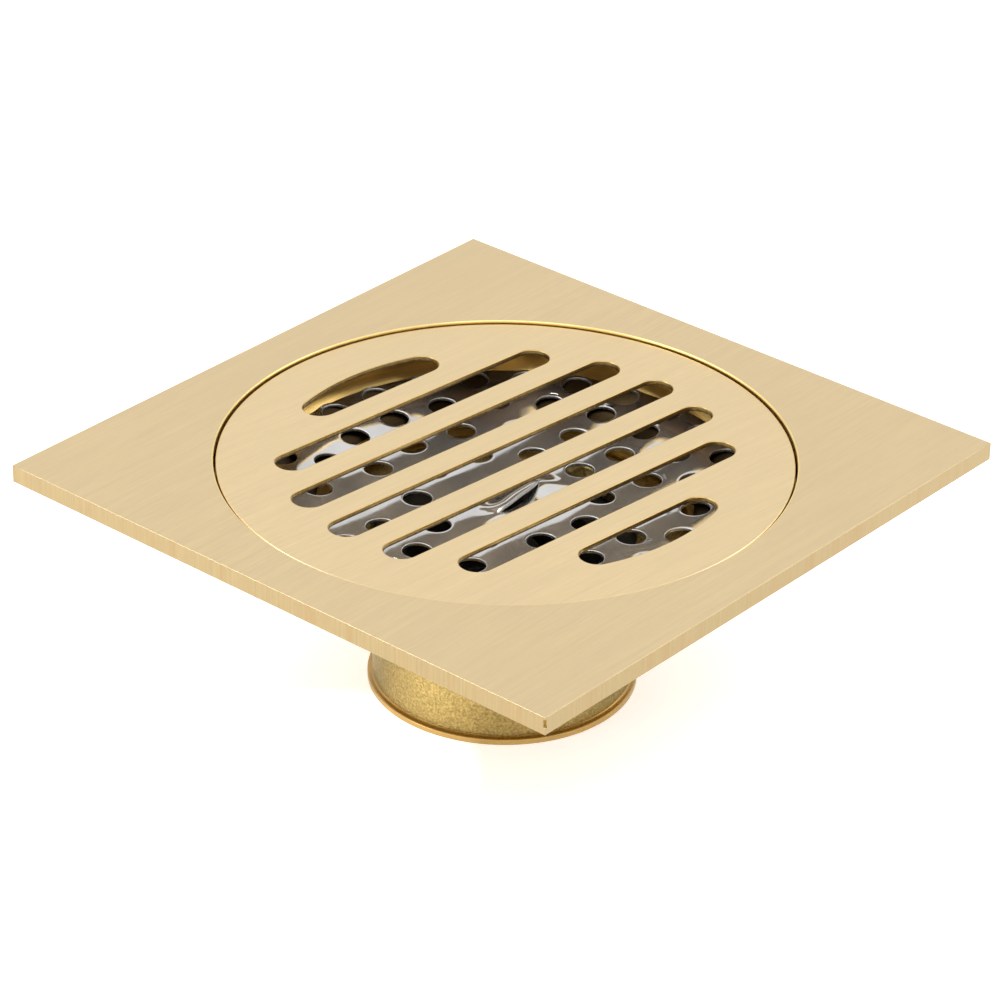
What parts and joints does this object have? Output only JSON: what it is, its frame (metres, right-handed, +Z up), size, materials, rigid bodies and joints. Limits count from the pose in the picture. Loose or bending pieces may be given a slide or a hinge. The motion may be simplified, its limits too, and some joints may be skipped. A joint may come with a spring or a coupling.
{
  "type": "floor drain grate",
  "caption": "Square brass floor drain with a lift-out slotted round grate, a perforated hair strainer and a screw-in odour trap with a spring-loaded valve.",
  "frame": {"origin": "centre of the outlet spigot's end face, the lowest point of the part", "axes": "+Z up through the grate, X and Y along the edges of the square plate"},
  "size_m": [0.1, 0.1, 0.037],
  "materials": {
    "brushed_brass": "fine straight brushing, pale gold",
    "cast_brass": "sand cast outside, turned inside",
    "machined_brass": "turned",
    "stainless": "polished sheet",
    "stainless_wire": "drawn and turned",
    "black_plastic": "moulded, satin",
    "black_rubber": "matt",
    "silicone": "soft, matt, translucent grey"
  },
  "bodies": {
    "drain": {"face_plate": "brushed_brass", "drain_body": "cast_brass"},
    "cushion": {"grate_cushion_ring": "black_rubber"},
    "grate": {"grate": "brushed_brass"},
    "strainer": {"hair_strainer": "stainless"},
    "trap": {"trap_collar": "machined_brass", "collar_gasket": "black_rubber", "trap_sleeve": "black_plastic", "sleeve_o_ring_1": "black_rubber", "sleeve_o_ring_2": "black_rubber", "guide_spider": "black_plastic", "spring_washer": "stainless_wire"},
    "valve": {"valve_stem": "stainless_wire", "stem_cap": "black_plastic", "stem_clip": "stainless_wire", "valve_spring": "stainless_wire", "seal_washer": "stainless_wire", "valve_seal": "silicone", "valve_disc": "black_plastic", "nut_washer": "stainless_wire", "valve_nut": "stainless_wire"}
  },
  "joints": [
    {"name": "grate_lift", "type": "slide", "parent": "drain", "child": "cushion", "axis": [0, 0, 1], "range_m": [0, 0.09]},
    {"name": "grate_turn", "type": "hinge", "parent": "cushion", "child": "grate", "pos_m": [0, 0, 0.035], "axis": [0, 0, 1], "continuous": true},
    {"name": "strainer_lift", "type": "slide", "parent": "drain", "child": "strainer", "axis": [0, 0, 1], "range_m": [0, 0.06]},
    {"name": "trap_lift", "type": "slide", "parent": "drain", "child": "trap", "axis": [0, 0, 1], "range_m": [0, 0.036]},
    {"name": "valve_drop", "type": "slide", "parent": "trap", "child": "valve", "axis": [0, 0, -1], "range_m": [0, 0.0045], "stiffness_N_per_m": 60, "springref_m": -0.005, "deforming": ["valve_spring"]}
  ],
  "couplings": [
    {"joint": "strainer_lift", "follows": "grate_lift", "ratio": 0.65},
    {"joint": "trap_lift", "follows": "grate_lift", "ratio": 0.38}
  ]
}
